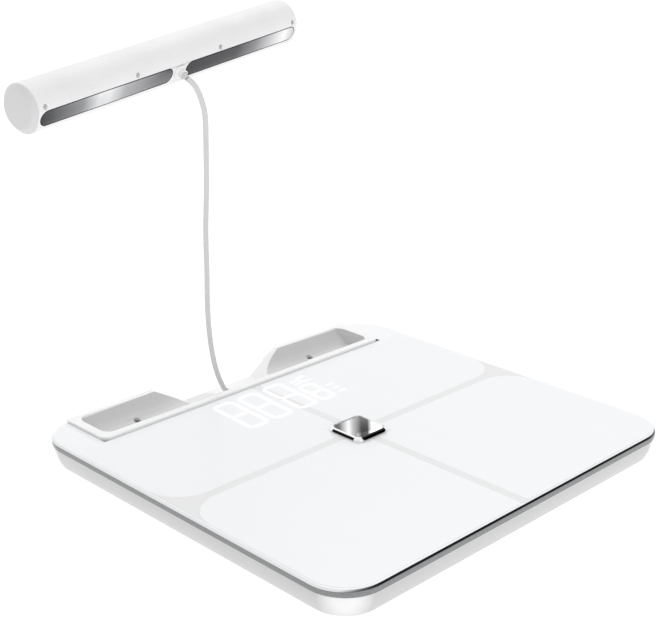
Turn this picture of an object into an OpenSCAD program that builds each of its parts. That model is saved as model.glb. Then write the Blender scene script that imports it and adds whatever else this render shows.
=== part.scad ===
// Bathroom scale with a glass platform and a hand bar on a pull-out cord.
// Origin: middle of the platform on the floor. +X right, +Y rear, +Z up.
// The hand bar stands lifted off its cradle at the end of its cord.

/* [Platform] */
// Width of the glass, left to right
glass_w = 300; // [280:1:360]
// Depth of the glass, front to rear
glass_d = 280; // [260:1:340]
// Height of the standing surface above the floor
top_z = 21.5; // [21.5:0.1:26]
// Thickness of the glass
glass_t = 4.8; // [4:0.1:5]
// Plan radius of the glass corners
corner_r = 26.6; // [18:0.1:36]
// Bevel on the glass edges
glass_bevel = 1.1; // [0.3:0.1:1.5]
// Thickness of the conductive coats and of the printed cross
coat_t = 0.2; // [0.1:0.05:0.3]
// Width of the printed cross between the coats
cross_w = 6; // [3:0.5:8]
// Place of the cross's middle, front to rear
cross_y = -3; // [-20:1:20]
// Bare rim of glass around the coats
coat_inset = 2.5; // [1.5:0.5:6]
// Plan radius where the printed cross flares at the left and right edges
flare_r = 25; // [10:1:40]

/* [Base shell] */
// Height of the shell's underside above the floor
shell_z = 3; // [2:0.1:4]
// Thickness of the shell
shell_t = 2; // [1.6:0.1:2.4]
// How far the shell's top edge sits inside the glass
shell_inset = 1; // [0.5:0.1:2]
// Radius of the curve of the shell's side
side_r = 24; // [18:1:40]
// Width of the ledge that the glass is taped to
ledge_w = 9; // [6:0.5:11]
// Thickness of the glass tape
tape_t = 0.2; // [0.1:0.05:0.4]

/* [Cradle] */
// Wall beyond each end of the trough
end_wall = 6; // [5:0.5:8]
// Height of the cradle's rim above the glass
rim_h = 1.5; // [1:0.1:3]
// Thickness of the rim in front of and behind the trough
rim_w = 5; // [4:0.5:6]
// Thickness of the rim behind the trough
rear_rim = 3; // [2.5:0.5:5]
// Room between the bar's side and the trough
side_gap = 2.25; // [1.8:0.05:3]
// Room between each end of the bar and the trough
end_gap = 2.5; // [2:0.5:5]
// Height of the trough's lowest line above the floor
trough_z = 11; // [10.5:0.1:12]
// Half length of the sunken middle at rim height
gap_top = 57; // [50:1:64]
// Half length of the sunken middle at its floor
gap_floor = 30; // [24:1:36]
// Height of the sunken middle's floor above the ground
gap_z = 8; // [7.5:0.1:9]

/* [Hand bar] */
// Length of the bar
bar_l = 235; // [225:1:237]
// Radius of the bar
bar_r = 14.75; // [14:0.05:15]
// Wall of the bar's shells
bar_wall = 2; // [1.6:0.1:2.5]
// Bevel on the ends of the bar
bar_bevel = 3.5; // [1:0.1:4]
// Width of a hand plate
plate_w = 10; // [8:0.5:11]
// Rim of the bar's flat beside the plates
flat_rim = 0.6; // [0.4:0.05:1]
// Distance from the plates to the bar's ends
plate_end = 4.5; // [4.5:0.5:10]
// Thickness of a hand plate
plate_t = 0.8; // [0.5:0.1:1.2]
// How far a hand plate stands proud of the bar's flat
plate_proud = 0.15; // [0.05:0.05:0.3]
// Gap between the two hand plates
plate_gap = 12; // [12:1:20]

/* [Cord] */
// Diameter of the cord
cord_d = 3.5; // [3:0.1:3.8]

/* [Feet] */
// Distance of the feet from the middle, left to right
foot_x = 112; // [100:1:114]
// Distance of the front feet from the middle
foot_front_y = 104; // [90:1:106]
// Distance of the rear feet from the middle
foot_rear_y = 70; // [60:1:70]
// Diameter of a foot
foot_d = 36; // [30:1:40]
// How far a foot can press in
foot_travel = 0.5; // [0.3:0.1:0.6]

/* [Emblem] */
// Width of the emblem
emblem_w = 29; // [24:1:34]
// Height of the emblem above the glass under it
emblem_h = 3.2; // [2:0.1:3.2]
// Plan radius of the emblem's corners
emblem_r = 5; // [3:0.5:8]
// Width of the emblem's sloping rim
emblem_rim = 2.2; // [2:0.1:3]

/* [Display] */
// Height of the three large digits
digit_h = 44; // [36:1:44]
// Width of the three large digits
digit_w = 18; // [14:1:18]
// Width of a digit's strokes
stroke_w = 3; // [2.4:0.1:3.2]

/* [Battery box] */
// Diameter of a battery
cell_d = 10.5; // [10:0.1:10.6]
// Length of a battery
cell_l = 44.5; // [44:0.1:50]
// Room between two batteries
cell_gap = 1.5; // [1:0.1:2.5]

/* [Hidden] */
$fn = 64;

// Gaps between pieces that don't move against each other, and that do
fit_gap = 0.3;
run_gap = 0.4;
eps = 0.01;

// Heights of the platform's layers
coat_z = top_z - coat_t;
glass_z = coat_z - glass_t;
shell_top = glass_z - tape_t;
floor_z = shell_z + shell_t;
rim_z = top_z + rim_h;

// Cradle
trough_r = bar_r + side_gap;
cradle_l = bar_l + 2 * (end_gap + end_wall);
cradle_d = rim_w + 2 * trough_r + rear_rim;
cradle_y1 = glass_d / 2;
cradle_y0 = cradle_y1 - cradle_d;
trough_y0 = cradle_y0 + rim_w;
trough_y = trough_y0 + trough_r;
trough_axis_z = trough_z + trough_r;
trough_half = bar_l / 2 + end_gap;
well_half = cradle_l / 2 - 4;
well_y0 = cradle_y0 + 1.6;
well_y1 = cradle_y1 - shell_inset - 5.5;
well_z = floor_z + 1.4;
skin = 1.6;
screw_x = 80;
screw_y = trough_y + 6;
screw_head_d = 4.2;
screw_head_h = 1.1;
screw_seat = trough_axis_z - sqrt(pow(trough_r, 2) - pow(screw_y - trough_y, 2)) - 1.9;

// Bar: drawn lying in the cradle, then turned about the cord's end and lifted
bar_gap = 0.75;
bar_y = trough_y;
bar_z = trough_z + bar_gap + bar_r;
flat_z = sqrt(pow(bar_r, 2) - pow(plate_w / 2 + flat_rim, 2));
plate_l = (bar_l - plate_gap) / 2 - plate_end;
flat_dip = 44;
pivot_d = 18;
pivot = [0, bar_y - pivot_d * cos(flat_dip), bar_z - pivot_d * sin(flat_dip)];
turn_axis = [-0.89, -0.31, 0.33];
turn_deg = 22.3;
lift = [-53, -11, 230];
ball_r = 2;
stub_dir = [0.09, -0.83, -0.56];
stub_l = 3;

// Cord, from the grommet to the ferrule
exit_y = trough_y0;
exit_z = 11;
bush_d = 2 * (exit_z - gap_z) - 0.2;
// First stretch, from the exit, and the rest, from the cord's end
low_route = [
  [0, 0, 0], [-0.4, 4.5, 0], [-3, 9.5, 0.8], [-6.5, 13, 2.6], [-10.5, 15, 6]
];
high_route = [
  [36, 21.448, -212.496], [30.5, 19.448, -193.996], [26.5, 16.948, -173.996],
  [24, 14.448, -154.996], [22, 11.448, -134.996], [18.5, 6.948, -103.996], [16.5, 2.448, -74.996],
  [14, -1.552, -46.496], [12, -4.052, -26.996], [9, -5.152, -16.996], [5.5, -5.252, -8.996],
  [2.4, -4.652, -4.396], [0.3, -2.552, -1.696]
];
route = concat([for (p = low_route) p + [0, exit_y, exit_z]],
  [for (p = high_route) p + lift + pivot]);
route_steps = 3;

// Reel
reel_c = [30, 0];
wind_r = 30;
coil_r0 = 16;
coil_r1 = 31.5;
flange_r = 34;
axle_r = 3;
axle_gap = 0.05;

// Battery box and its door
box_x = 48;
cell_y = -78;
cell_z = glass_z - 0.95 - cell_d / 2;
cell_pitch = cell_d + cell_gap;
box_l = cell_l + 7;
box_d = 2 * cell_pitch + cell_d + 3;
box_wall = 1.5;
door_t = 1.4;
door_pin_r = 1;
door_pin_y = cell_y + box_d / 2 + 2.5;
door_pin_z = shell_z + 1.3;
tab_x = [box_x - 15, box_x + 15];
tab_w = 6;

// Button and boards
button_x = -40;
button_y = -78;
button_d = 10;
button_travel = 1.2;
board_z = floor_z + 5;
board_t = 1.6;
display_w = 86;
display_d = 50;
display_y = 68;
display_x = -2;

module box(x0, x1, y0, y1, z0, z1) {
  translate([x0, y0, z0]) cube([x1 - x0, y1 - y0, z1 - z0]);
}

// A plate with round corners whose edge follows a half profile.
// The profile's X runs from the corner's centre outwards, its Y is the height.
module edged_plate(w, d, r, z0, z1) {
  hx = w / 2 - r;
  hy = d / 2 - r;
  box(-hx, hx, -hy, hy, z0, z1);
  for (sx = [-1, 1]) for (sy = [-1, 1])
    translate([sx * hx, sy * hy, 0]) rotate_extrude() children();
  for (side = [0, 1]) mirror([0, side, 0])
    translate([-hx, hy, 0]) rotate([90, 0, 90]) linear_extrude(2 * hx) children();
  for (side = [0, 1]) mirror([side, 0, 0])
    translate([hx, hy, 0]) rotate([90, 0, 0]) linear_extrude(2 * hy) children();
}

// Half profiles
module bevelled_edge(r, z0, z1, low, high) {
  polygon([[0, z0], [r - low, z0], [r, z0 + low], [r, z1 - high], [r - high, z1], [0, z1]]);
}

module curved_edge(r, z0, z1, bow, bow_z) {
  intersection() {
    translate([0, z0]) square([r, z1 - z0]);
    translate([r - bow, bow_z]) circle(bow, $fn = 96);
  }
}

// A flat plate whose four corners have their own radii, from the lower left round
module corner_plate(x0, x1, y0, y1, radii, z, t) {
  corners = [[x0, y0, 1, 1], [x1, y0, -1, 1], [x1, y1, -1, -1], [x0, y1, 1, -1]];
  translate([0, 0, z]) linear_extrude(t) difference() {
    translate([x0, y0]) square([x1 - x0, y1 - y0]);
    for (i = [0:3])
      translate([corners[i][0], corners[i][1]]) scale([corners[i][2], corners[i][3]])
        difference() {
          translate([-eps, -eps]) square(radii[i] + eps);
          translate([radii[i], radii[i]]) circle(radii[i]);
        }
  }
}

module place_feet() {
  for (sx = [-1, 1]) {
    translate([sx * foot_x, -foot_front_y, 0]) children();
    translate([sx * foot_x, foot_rear_y, 0]) children();
  }
}

// The cut that the cradle takes from a platform layer
module cradle_cut(z0, z1) {
  box(-cradle_l / 2 - fit_gap, cradle_l / 2 + fit_gap, cradle_y0 - fit_gap, glass_d, z0, z1);
}

// --- Platform -------------------------------------------------------------

module glass_platform() {
  color("whitesmoke") difference() {
    edged_plate(glass_w, glass_d, corner_r, glass_z, coat_z)
      bevelled_edge(corner_r, glass_z, coat_z, 0.4, glass_bevel);
    cradle_cut(glass_z - 1, coat_z + 1);
  }
}

module glass_tape() {
  inner = ledge_w - 1.5;
  color("dimgray") difference() {
    corner_plate(2.5 - glass_w / 2, glass_w / 2 - 2.5, 2.5 - glass_d / 2, glass_d / 2 - 2.5,
      [24, 24, 24, 24], shell_top, tape_t);
    box(inner - glass_w / 2, glass_w / 2 - inner, inner - glass_d / 2, glass_d, 0, top_z);
    cradle_cut(0, top_z);
  }
}

// One quarter of the conductive coat, for the side of each sign
module coat(sx, sy) {
  x0 = cross_w / 2;
  x1 = glass_w / 2 - coat_inset;
  rear = sy > 0;
  y0 = rear ? cross_y + cross_w / 2 : coat_inset - glass_d / 2;
  y1 = rear ? cradle_y0 - 1.5 : cross_y - cross_w / 2;
  radii = rear ? [2, flare_r, 3, 2] : [2, corner_r - coat_inset, flare_r, 2];
  mirror([sx < 0 ? 1 : 0, 0, 0]) difference() {
    corner_plate(x0, x1, y0, y1, radii, coat_z, coat_t);
    emblem_cut();
  }
}

module emblem_cut() {
  half = emblem_w / 2 + 0.5;
  box(-half, half, cross_y - half, cross_y + half, coat_z - 1, top_z + 1);
}

module coat_front_left() { color("white") coat(-1, -1); }
module coat_front_right() { color("white") coat(1, -1); }
module coat_rear_left() { color("white") coat(-1, 1); }
module coat_rear_right() { color("white") coat(1, 1); }

// The printed cross fills what the coats leave, up to the bare rim
module cross_print() {
  gap = 0.1;
  half = cross_w / 2 - gap;
  end_x = glass_w / 2 - coat_inset;
  color("gainsboro") difference() {
    union() {
      box(-end_x, end_x, cross_y - half, cross_y + half, coat_z, top_z);
      box(-half, half, coat_inset - glass_d / 2, cradle_y0 - 1.5, coat_z, top_z);
      translate([0, cross_y, 0]) for (sx = [-1, 1]) for (sy = [-1, 1]) scale([sx, sy, 1])
        translate([end_x - flare_r, 0, coat_z]) linear_extrude(coat_t) difference() {
          square([flare_r, half + flare_r]);
          translate([0, cross_w / 2 + flare_r]) circle(flare_r + gap);
        }
    }
    emblem_cut();
  }
}

module emblem_frame() {
  recess = emblem_w / 2 - emblem_rim;
  color("silver") translate([0, cross_y, 0]) difference() {
    edged_plate(emblem_w, emblem_w, emblem_r, coat_z, coat_z + emblem_h)
      bevelled_edge(emblem_r, coat_z, coat_z + emblem_h, 0.2, 1.8);
    translate([0, 0, coat_z + 1]) linear_extrude(9)
      round_square(recess, emblem_r - emblem_rim);
  }
}

// A square with round corners, by its half width
module round_square(half, r) {
  offset(r) square(2 * (half - r), center = true);
}

module emblem_plate() {
  color("lightgray") translate([0, cross_y, coat_z + 1]) linear_extrude(emblem_h - 1.3)
    round_square(emblem_w / 2 - emblem_rim - 0.1, emblem_r - emblem_rim - 0.1);
}

// --- Base shell -----------------------------------------------------------

module shell_body(grow, z0, z1) {
  r = corner_r - shell_inset + grow;
  edged_plate(glass_w - 2 * shell_inset + 2 * grow, glass_d - 2 * shell_inset + 2 * grow, r,
    z0, z1)
    curved_edge(r, z0, z1, side_r + grow, shell_top);
}

module base_shell() {
  flange_x = glass_w / 2 - ledge_w;
  flange_y = glass_d / 2 - ledge_w;
  color("gainsboro") difference() {
    union() {
      difference() {
        shell_body(0, shell_z, shell_top);
        difference() {
          shell_body(-shell_t, floor_z, shell_top + 0.5);
          difference() {
            box(-glass_w, glass_w, -glass_d, glass_d, shell_top - 1.8, shell_top + 1);
            box(-flange_x, flange_x, -flange_y, flange_y, 0, top_z);
          }
        }
      }
      // Seats for the load cells
      place_feet() for (sy = [-1, 1])
        translate([-17, sy * seat_y - 3, floor_z - 1]) cube([34, 6, load_cell_z - floor_z + 1]);
      // Posts for the cradle and the boards
      for (sx = [-1, 1]) translate([sx * screw_x, screw_y, floor_z - 1])
        cylinder(d = 7, h = well_z - floor_z + 1 - 0.1);
      for (p = board_posts) translate([p[0], p[1], floor_z - 1])
        cylinder(d = 5, h = board_z - floor_z + 1);
      for (p = display_posts) translate([p[0], p[1], floor_z - 1])
        cylinder(d = 5, h = display_z - floor_z + 1);
      for (p = reel_posts) translate([p[0], p[1], floor_z - 1])
        cylinder(d = 5, h = cover_z - floor_z + 1);
      // Lugs that the door's pins turn in
      for (x = tab_x) box(x - 6, x + 6, door_pin_y - 2, door_pin_y + 2, floor_z - 1, floor_z + 1);
    }
    // Rear wall and ledge cut away for the cradle
    box(-well_half - fit_gap, well_half + fit_gap, well_y0 - fit_gap, well_y1 + fit_gap,
      floor_z + 1.3, top_z);
    cradle_cut(shell_top - 2, top_z);
    sunken_wedge(skin + 0.1, well_y1 - 1, glass_d);
    place_feet() translate([0, 0, -1]) cylinder(d = foot_d + 1.6, h = floor_z + 2);
    place_feet() for (sy = [-1, 1]) translate([0, sy * seat_y, floor_z]) cylinder(d = 2.3, h = 9);
    translate([button_x, button_y, 0]) cylinder(d = button_d + 2 * run_gap, h = floor_z + 1);
    // Battery opening, the door's knuckles and their pin bores
    box(box_x - box_l / 2 + 1.5, box_x + box_l / 2 - 1.5, cell_y - box_d / 2, cell_y + box_d / 2,
      0, floor_z + 1);
    for (x = tab_x) {
      box(x - tab_w / 2 - run_gap, x + tab_w / 2 + run_gap, cell_y, door_pin_y + 1.8, 0,
        floor_z + 3);
      translate([x - 5, door_pin_y, door_pin_z]) rotate([0, 90, 0])
        cylinder(r = door_pin_r + 0.05, h = 10, $fn = 32);
    }
    // Pilot holes
    for (sx = [-1, 1]) translate([sx * screw_x, screw_y, shell_z + 0.6]) cylinder(d = 2.7, h = 9);
    for (p = board_posts) translate([p[0], p[1], floor_z + 0.5]) cylinder(d = 2.1, h = 9);
    for (p = reel_posts) translate([p[0], p[1], floor_z + 0.5]) cylinder(d = 2.1, h = 12);
  }
}
load_cell_z = floor_z + 3.2;
flange_gap = 2;
seat_y = foot_d / 2 + flange_gap + 4;
cover_z = glass_z - 1.6;
display_z = glass_z - 3.6;
board_posts = [[-68, -94], [-68, -60], [-12, -94], [-12, -60]];
display_posts = [for (sx = [-1, 1]) for (sy = [-1, 1])
  [display_x + sx * (display_w / 2 - 4), display_y + sy * (display_d / 2 - 4)]];
reel_ear = flange_r + 7;
reel_posts = [for (a = [75:90:345]) [reel_c[0] + reel_ear * cos(a), reel_c[1] + reel_ear * sin(a)]];

// --- Cradle ---------------------------------------------------------------

// What the cradle leaves open: the trough and the sunken middle
module cradle_hollow() {
  intersection() {
    translate([-trough_half, trough_y, trough_axis_z]) rotate([0, 90, 0])
      cylinder(r = trough_r, h = 2 * trough_half, $fn = 96);
    corner_plate(-trough_half, trough_half, trough_y0, trough_y0 + 2 * trough_r, [8, 8, 8, 8],
      trough_z - 1, 40);
  }
  sunken_wedge(0, trough_y0, glass_d);
}

// The sunken middle with its two ramps, lowered by an amount
module sunken_wedge(down, y0, y1) {
  slope = (rim_z - gap_z) / (gap_top - gap_floor);
  over = 10;
  translate([0, y1, -down]) rotate([90, 0, 0]) linear_extrude(y1 - y0)
    polygon([[-gap_floor, gap_z], [gap_floor, gap_z], [gap_top + over / slope, rim_z + over],
      [-gap_top - over / slope, rim_z + over]]);
}

module cradle_outer() {
  translate([0, 0, shell_top + 0.1]) linear_extrude(rim_z - shell_top - 0.1)
    difference() {
      translate([-cradle_l / 2, cradle_y0]) square([cradle_l, cradle_d]);
      for (sx = [-1, 1]) scale([sx, 1]) translate([cradle_l / 2 - 6, cradle_y0 + 6])
        difference() {
          translate([0, -6.1]) square(6.1);
          circle(6);
        }
    }
  box(-well_half, well_half, well_y0, well_y1, well_z, shell_top + 1);
  intersection() {
    sunken_wedge(skin, well_y1 - 1, glass_d);
    box(-glass_w, glass_w, 0, glass_d, gap_z - skin, shell_top + 0.1);
    shell_body(0, shell_z, shell_top + 0.1);
  }
}

module handle_cradle() {
  pocket_x = gap_top + 6;
  color("white") difference() {
    cradle_outer();
    cradle_hollow();
    // Hollow underside beside the screw posts
    for (sx = [-1, 1]) scale([sx, 1, 1]) difference() {
      box(pocket_x, well_half - skin, well_y0 + skin, well_y1 - skin, 0, trough_z - skin);
      translate([screw_x, screw_y, 0]) cylinder(d = 9, h = trough_z);
    }
    for (sx = [-1, 1]) translate([sx * screw_x, screw_y, 0]) {
      cylinder(d = 2.9, h = 30);
      translate([0, 0, screw_seat]) cylinder(d = screw_head_d + 0.6, h = 6);
    }
    translate([0, trough_y0 + 1, exit_z]) rotate([90, 0, 0]) cylinder(d = bush_d + 0.1, h = 9, $fn = 48);
  }
}

module cradle_screws() {
  low = shell_z + 0.8;
  color("gray") for (sx = [-1, 1]) translate([sx * screw_x, screw_y, 0]) difference() {
    union() {
      translate([0, 0, low]) cylinder(d = 2.6, h = screw_seat + 0.1 - low);
      translate([0, 0, screw_seat]) cylinder(d = screw_head_d, h = screw_head_h);
    }
    for (a = [0, 90]) rotate([0, 0, a])
      box(-1.2, 1.2, -0.3, 0.3, screw_seat + 0.5, screw_seat + 2);
  }
}

// --- Cord and reel ----------------------------------------------------------

module cord_grommet() {
  color("lightgray") translate([0, exit_y, exit_z]) rotate([90, 0, 0]) difference() {
    union() {
      cylinder(d = bush_d, h = exit_y - well_y0 + 1, $fn = 48);
      translate([0, 0, exit_y - well_y0 + 0.1]) cylinder(d = bush_d + 3, h = 1.2, $fn = 48);
    }
    translate([0, 0, -1]) cylinder(d = cord_d + 0.2, h = 20, $fn = 48);
  }
}

module inner_cord() {
  start = sqrt(pow(coil_r1, 2) - pow(wind_r - cord_d / 2, 2)) + fit_gap;
  color("gainsboro") translate([reel_c[0] - wind_r, reel_c[1] + start, exit_z])
    rotate([-90, 0, 0]) cylinder(d = cord_d, h = exit_y - reel_c[1] - start, $fn = 32);
}

// Points on a smooth curve through the route
function spline(p0, p1, p2, p3, t) =
  0.5 * (2 * p1 + (p2 - p0) * t + (2 * p0 - 5 * p1 + 4 * p2 - p3) * t * t
  + (3 * p1 - p0 - 3 * p2 + p3) * t * t * t);
function at(points, i) = points[max(0, min(len(points) - 1, i))];
function smooth(points, steps) = [
  for (i = [0:len(points) - 2]) for (k = [0:steps - 1])
    spline(at(points, i - 1), at(points, i), at(points, i + 1), at(points, i + 2), k / steps),
  points[len(points) - 1]
];
function unit(v) = v / norm(v);

// Rings of 8 points, each square to the route
function ring(c, dir, r) =
  let (side = unit(cross(dir, [1, 0, 0])), up = cross(side, dir))
  [for (k = [0:7]) c + r * (cos(45 * k) * side + sin(45 * k) * up)];
function heading(points, i) =
  (i == 0) ? [0, 1, 0]
  : (i == len(points) - 1) ? -unit(stub_dir)
  : unit(points[i + 1] - points[i - 1]);

module tube(points, r) {
  n = len(points);
  skin_points = [for (i = [0:n - 1]) each ring(points[i], heading(points, i), r)];
  sides = [for (i = [0:n - 2]) for (k = [0:7]) each [
    [8 * i + k, 8 * i + (k + 1) % 8, 8 * i + 8 + k],
    [8 * i + (k + 1) % 8, 8 * i + 8 + (k + 1) % 8, 8 * i + 8 + k]]];
  ends = [[for (k = [7:-1:0]) k], [for (k = [0:7]) 8 * (n - 1) + k]];
  polyhedron(points = skin_points, faces = concat(sides, ends));
}

module handle_cord() {
  color("gainsboro") tube(smooth(route, route_steps), cord_d / 2);
}

module reel_housing() {
  color("dimgray") translate([reel_c[0], reel_c[1], 0]) difference() {
    translate([0, 0, floor_z + 0.1]) cylinder(r = flange_r + 2.6, h = cover_z - floor_z - 0.2);
    translate([0, 0, floor_z + 1.3]) cylinder(r = flange_r + 1, h = 20);
    translate([0, 0, floor_z]) cylinder(r = axle_r, h = 3);
    box(-wind_r - 3, -wind_r + 4, 5, 60, exit_z - 2.5, exit_z + 2.5);
  }
}

module reel_axle() {
  color("silver") translate([reel_c[0], reel_c[1], floor_z + 0.4])
    cylinder(r = axle_r, h = cover_z - floor_z - 0.5);
}

module reel_cover() {
  color("dimgray") translate([reel_c[0], reel_c[1], cover_z]) difference() {
    union() {
      cylinder(r = flange_r + 2.6, h = 1.2);
      for (a = [75, 165]) rotate([0, 0, a]) box(-reel_ear - 3, reel_ear + 3, -3, 3, 0, 1.2);
    }
    for (a = [75:90:345]) rotate([0, 0, a]) translate([reel_ear, 0, -1]) cylinder(d = 2.4, h = 4);
  }
}

module reel_screws() {
  color("gray") for (p = reel_posts) translate([p[0], p[1], 0]) {
    translate([0, 0, cover_z + 1.2]) cylinder(d = 4, h = 0.3);
    translate([0, 0, cover_z - 5]) cylinder(d = 2, h = 6.3);
  }
}

drum_z0 = floor_z + 1.9;
drum_z1 = cover_z - 0.6;

module reel_drum() {
  color("lightsteelblue") translate([reel_c[0], reel_c[1], 0]) difference() {
    union() {
      translate([0, 0, drum_z0]) cylinder(r = flange_r, h = 1.2);
      translate([0, 0, drum_z1 - 1.2]) cylinder(r = flange_r, h = 1.2);
      translate([0, 0, drum_z0]) cylinder(r = coil_r0 - 0.2, h = drum_z1 - drum_z0);
    }
    cylinder(r = axle_r + axle_gap, h = 30);
    translate([0, 0, drum_z0 + 1.4]) difference() {
      cylinder(r = coil_r0 - 1.8, h = 30);
      translate([0, 0, -1]) cylinder(r = axle_r + 2, h = 40);
    }
  }
}

module reel_spring() {
  color("silver") translate([reel_c[0], reel_c[1], drum_z0 + 1.6]) difference() {
    cylinder(r = coil_r0 - 2.1, h = drum_z1 - drum_z0 - 2.4);
    translate([0, 0, -1]) cylinder(r = axle_r + 3.5, h = 20);
  }
}

module cord_coil() {
  color("gainsboro") translate([reel_c[0], reel_c[1], drum_z0 + 1.4]) difference() {
    cylinder(r = coil_r1, h = drum_z1 - drum_z0 - 2.8);
    translate([0, 0, -1]) cylinder(r = coil_r0, h = 20);
  }
}

// --- Display and boards -------------------------------------------------------

module display_board() {
  color("darkgreen") difference() {
    translate([display_x - display_w / 2, display_y - display_d / 2, display_z])
      cube([display_w, display_d, 1.2]);
    for (p = display_posts) translate([p[0], p[1], 0]) cylinder(d = 2.2, h = 30);
  }
}

// One digit's seven strokes: three across, four upright
module segments(x, y, w, h, t, grow) {
  b = stroke_w + grow;
  side = (h - stroke_w) / 2;
  translate([x, y, 0]) {
    for (k = [-1, 0, 1]) translate([0, k * side, t / 2])
      cube([w - 2 * stroke_w + grow, b, t], center = true);
    for (sx = [-1, 1]) for (sy = [-1, 1])
      translate([sx * (w - stroke_w) / 2, sy * side / 2, t / 2])
        cube([b, side - stroke_w - 0.4 + grow, t], center = true);
  }
}

// Each digit's middle, width and height
digits = [[-38, display_y, digit_w, digit_h], [-17, display_y, digit_w, digit_h],
  [6, display_y, digit_w, digit_h], [25, display_y - digit_h / 6, digit_w - 3, digit_h * 2 / 3]];

module display_mask() {
  color("white") difference() {
    translate([display_x - display_w / 2 + 1, display_y - display_d / 2 + 1, display_z + 1.3])
      cube([display_w - 2, display_d - 2, 2.1]);
    for (d = digits) translate([0, 0, display_z + 1])
      segments(d[0], d[1], d[2], d[3], 4, 0.3);
  }
}

module display_digits() {
  color("white") for (d = digits) translate([0, 0, display_z + 1.3])
    segments(d[0], d[1], d[2], d[3], 1.9, 0);
}

module main_board() {
  color("darkgreen") difference() {
    box(-72, -8, -98, -56, board_z, board_z + board_t);
    for (p = board_posts) translate([p[0], p[1], 0]) cylinder(d = 2.2, h = 30);
  }
}

module main_chip() {
  color("dimgray") box(-36, -24, -84, -72, board_z + board_t, board_z + board_t + 1.2);
}

module unit_switch() {
  color("black") {
    translate([button_x - 3, button_y - 3, board_z - 0.7]) cube([6, 6, 0.7]);
    translate([button_x, button_y, board_z - 1]) cylinder(d = 3, h = 0.5);
  }
}

module board_screws() {
  color("gray") for (p = board_posts) translate([p[0], p[1], 0]) {
    translate([0, 0, board_z + board_t]) cylinder(d = 4, h = 1.2);
    translate([0, 0, floor_z + 1]) cylinder(d = 2, h = board_z + board_t - floor_z - 0.9);
  }
}

// --- Batteries ----------------------------------------------------------------

module battery_box() {
  color("lightgray") difference() {
    box(box_x - box_l / 2, box_x + box_l / 2, cell_y - box_d / 2 - box_wall,
      cell_y + box_d / 2 + box_wall, floor_z + 0.1, glass_z - 0.3);
    box(box_x - box_l / 2 + box_wall, box_x + box_l / 2 - box_wall, cell_y - box_d / 2,
      cell_y + box_d / 2, 0, glass_z - 0.7);
    for (x = tab_x) box(x - 6.5, x + 6.5, door_pin_y - 6, door_pin_y + 4, 0, floor_z + 1.4);
  }
}

module battery_cells() {
  color("goldenrod") for (k = [-1, 0, 1])
    translate([box_x - cell_l / 2, cell_y + k * cell_pitch, cell_z]) rotate([0, 90, 0]) {
      cylinder(d = cell_d, h = cell_l - 1);
      cylinder(d = 3.8, h = cell_l);
    }
}

module battery_springs() {
  x = box_x - box_l / 2 + box_wall;
  color("silver") for (k = [-1, 0, 1]) translate([x, cell_y + k * cell_pitch, cell_z])
    rotate([0, 90, 0]) {
      translate([-3.5, -4, 0.05]) cube([7, 8, 0.3]);
      translate([0, 0, 0.3]) difference() {
        cylinder(d = 6, h = 1.5);
        translate([0, 0, 0.2]) cylinder(d = 4.6, h = 3);
      }
    }
}

module battery_plates() {
  x = box_x + box_l / 2 - box_wall;
  color("silver") for (k = [-1, 0, 1]) translate([x - 0.35, cell_y + k * cell_pitch - 4, cell_z - 3.5])
    cube([0.3, 8, 7]);
}

module battery_door() {
  hx = box_l / 2 - 1.5 - run_gap;
  y0 = cell_y - box_d / 2 + run_gap;
  y1 = cell_y + box_d / 2 - 0.8;
  color("whitesmoke") {
    difference() {
      box(box_x - hx, box_x + hx, y0, y1, shell_z, shell_z + door_t);
      for (k = [0:2]) box(box_x - 6, box_x + 6, y0 + 4 + 2 * k, y0 + 5 + 2 * k, 0, shell_z + 0.5);
    }
    box(box_x - 5, box_x + 5, y0 + 0.2, y0 + 1.2, shell_z + door_t - eps, shell_z + 3.4);
    for (x = tab_x) {
      box(x - tab_w / 2, x + tab_w / 2, y1 - 1, door_pin_y, shell_z, shell_z + door_t);
      translate([x - tab_w / 2, door_pin_y, door_pin_z]) rotate([0, 90, 0])
        cylinder(r = 1.3, h = tab_w, $fn = 32);
      translate([x - 4.8, door_pin_y, door_pin_z]) rotate([0, 90, 0])
        cylinder(r = door_pin_r, h = 9.6, $fn = 32);
    }
  }
}

module unit_button() {
  color("lightgray") translate([button_x, button_y, 0]) {
    translate([0, 0, shell_z + 0.3]) cylinder(d = button_d, h = floor_z - shell_z);
    translate([0, 0, floor_z + 0.2]) cylinder(d = button_d + 3, h = 1.2);
    translate([0, 0, floor_z]) cylinder(d = 4, h = 2.4);
  }
}

// --- Load cells and feet --------------------------------------------------------

module load_cell(x, y) {
  color("silver") translate([x, y, load_cell_z]) difference() {
    translate([-15, -seat_y - 3, 0]) cube([30, 2 * seat_y + 6, 1.2]);
    for (sy = [-1, 1]) translate([0, sy * seat_y, -1]) cylinder(d = 2.4, h = 4);
    for (sx = [-1, 1]) translate([sx * 10 - 1, -14, -1]) cube([2, 28, 4]);
    translate([-10, -14, -1]) cube([20, 2, 4]);
  }
}

module load_cell_front_left() { load_cell(-foot_x, -foot_front_y); }
module load_cell_front_right() { load_cell(foot_x, -foot_front_y); }
module load_cell_rear_left() { load_cell(-foot_x, foot_rear_y); }
module load_cell_rear_right() { load_cell(foot_x, foot_rear_y); }

module cell_screws() {
  color("gray") place_feet() for (sy = [-1, 1]) translate([0, sy * seat_y, 0]) {
    translate([0, 0, load_cell_z + 1.2]) cylinder(d = 4.4, h = 1.4);
    translate([0, 0, floor_z + 0.3]) cylinder(d = 2.2, h = load_cell_z - floor_z + 1);
  }
}

pad_h = 1.6;

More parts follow.
